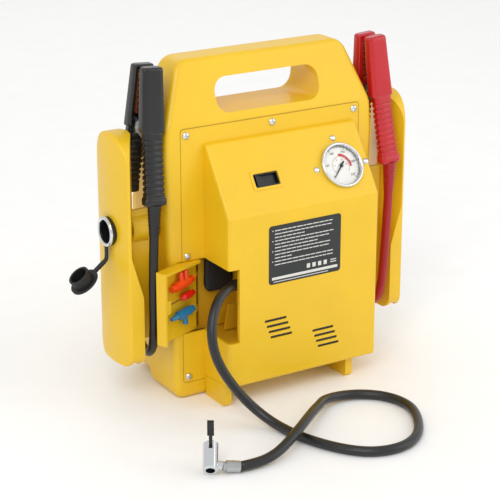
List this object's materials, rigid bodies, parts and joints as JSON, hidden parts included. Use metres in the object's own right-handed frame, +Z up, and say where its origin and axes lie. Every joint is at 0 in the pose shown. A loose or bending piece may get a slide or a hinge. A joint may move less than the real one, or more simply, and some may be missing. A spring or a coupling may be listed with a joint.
{
  "type": "jump starter pack",
  "caption": "Portable jump starter pack with a handle, side-stowed lead clamps, an air hose with tyre chuck, a pressure gauge, a rocker switch and an open adaptor compartment.",
  "frame": {"origin": "on the floor under the middle of the case, where the shell stands", "axes": "+Z up, -Y towards the gauge side, +X to the right seen from the gauge side, across the two clamp holders"},
  "size_m": [0.3523, 0.2976, 0.3211],
  "materials": {
    "yellow_plastic": "fine satin moulding",
    "black_plastic": "satin",
    "red_plastic": "semi gloss",
    "clamp_black": "semi gloss",
    "bin_plastic": "satin",
    "label_grey": "satin printed film",
    "screw_steel": "bright",
    "gauge_chrome": "bright",
    "dial_white": "printed card",
    "needle_black": "matt",
    "lens_clear": "clear",
    "hose_rubber": "fine braid",
    "lead_black": "smooth jacket",
    "lead_red": "smooth jacket",
    "strap_rubber": "matt",
    "lever_steel": "zinc plated",
    "jaw_copper": "copper plated",
    "chuck_chrome": "bright",
    "ferrule_steel": "crimped",
    "orange_plastic": "semi gloss",
    "red_adaptor": "semi gloss",
    "needle_metal": "bright",
    "blue_plastic": "semi gloss",
    "lens_red": "moulded lens",
    "board_green": "lacquered",
    "battery_plastic": "moulded",
    "plate_lead": "dull",
    "terminal_lead": "dull",
    "motor_steel": "drawn can",
    "cast_alloy": "as cast"
  },
  "bodies": {
    "pack": {"air_hose": "hose_rubber", "air_pipe": "black_plastic", "battery_case": "battery_plastic", "battery_lid": "battery_plastic", "battery_plates": "plate_lead", "battery_terminals": "terminal_lead", "black_lead": "lead_black", "black_near_grip": "clamp_black", "cap_strap": "strap_rubber", "charge_jack": "black_plastic", "chuck_body": "chuck_chrome", "chuck_pin": "lever_steel", "circuit_board": "board_green", "clamp_springs": "lever_steel", "compressor_crankcase": "cast_alloy", "compressor_cylinder": "cast_alloy", "compressor_motor": "motor_steel", "cover_screws": "screw_steel", "door_hinge_pin": "lever_steel", "front_shell": "yellow_plastic", "gauge_bezel": "gauge_chrome", "gauge_case": "lever_steel", "gauge_dial": "dial_white", "gauge_lens": "lens_clear", "gauge_screws": "screw_steel", "hose_ferrule": "ferrule_steel", "hose_grommet": "black_plastic", "lead_glands": "black_plastic", "left_clamp_holder": "yellow_plastic", "near_jaws": "jaw_copper", "near_levers": "lever_steel", "pivot_pins": "lever_steel", "rating_label": "label_grey", "rear_cover": "yellow_plastic", "rear_shell": "yellow_plastic", "red_lead": "lead_red", "red_near_grip": "red_plastic", "right_clamp_holder": "yellow_plastic", "shell_screws": "screw_steel", "socket_barrel": "black_plastic", "socket_ring": "gauge_chrome", "status_lights": "lens_red", "storage_bin": "bin_plastic", "switch_housing": "black_plastic"},
    "storage_door": {"storage_door": "yellow_plastic", "valve_adaptor": "orange_plastic", "needle_adaptor": "red_adaptor", "inflating_needle": "needle_metal", "taper_adaptor": "blue_plastic"},
    "switch_rocker": {"switch_rocker": "black_plastic"},
    "gauge_needle": {"gauge_needle": "needle_black"},
    "chuck_lever": {"chuck_lever": "black_plastic"},
    "socket_cap": {"socket_cap": "strap_rubber"},
    "test_button": {"test_button": "black_plastic"},
    "black_jaw": {"black_far_grip": "clamp_black", "black_far_lever": "lever_steel", "black_far_jaw": "jaw_copper"},
    "red_jaw": {"red_far_grip": "red_plastic", "red_far_lever": "lever_steel", "red_far_jaw": "jaw_copper"}
  },
  "joints": [
    {"name": "storage_door", "type": "hinge", "parent": "pack", "child": "storage_door", "pos_m": [-0.0765, -0.0153, 0.1], "axis": [0, 0, 1], "range_deg": [0, 33]},
    {"name": "switch_rocker", "type": "hinge", "parent": "pack", "child": "switch_rocker", "pos_m": [-0.0228, -0.0505, 0.2083], "axis": [0, -0.5566, -0.8308], "range_deg": [0, 18]},
    {"name": "gauge_needle", "type": "hinge", "parent": "pack", "child": "gauge_needle", "pos_m": [0.059, -0.0551, 0.21146], "axis": [0, 0.8308, -0.5566], "range_deg": [0, 270], "stiffness_Nm_per_rad": 0.00002, "springref_deg": -17.19},
    {"name": "chuck_lever", "type": "hinge", "parent": "pack", "child": "chuck_lever", "pos_m": [-0.1452, -0.1618, 0.0179], "axis": [-0.8535, 0.5211, 0], "range_deg": [0, 58]},
    {"name": "black_clamp", "type": "hinge", "parent": "pack", "child": "black_jaw", "pos_m": [-0.12338, -0.011, 0.265], "axis": [-0.9976, 0, 0.0698], "range_deg": [0, 27], "stiffness_Nm_per_rad": 2, "springref_deg": -28.65},
    {"name": "red_clamp", "type": "hinge", "parent": "pack", "child": "red_jaw", "pos_m": [0.12338, -0.011, 0.265], "axis": [-0.9976, 0, -0.0698], "range_deg": [0, 27], "stiffness_Nm_per_rad": 2, "springref_deg": -28.65},
    {"name": "socket_cap", "type": "hinge", "parent": "pack", "child": "socket_cap", "pos_m": [-0.1594, -0.001, 0.1436], "axis": [0, 1, 0], "range_deg": [0, 80], "stiffness_Nm_per_rad": 0.05},
    {"name": "test_button", "type": "slide", "parent": "pack", "child": "test_button", "axis": [0, -1, 0], "range_m": [0, 0.0015], "stiffness_N_per_m": 300}
  ]
}
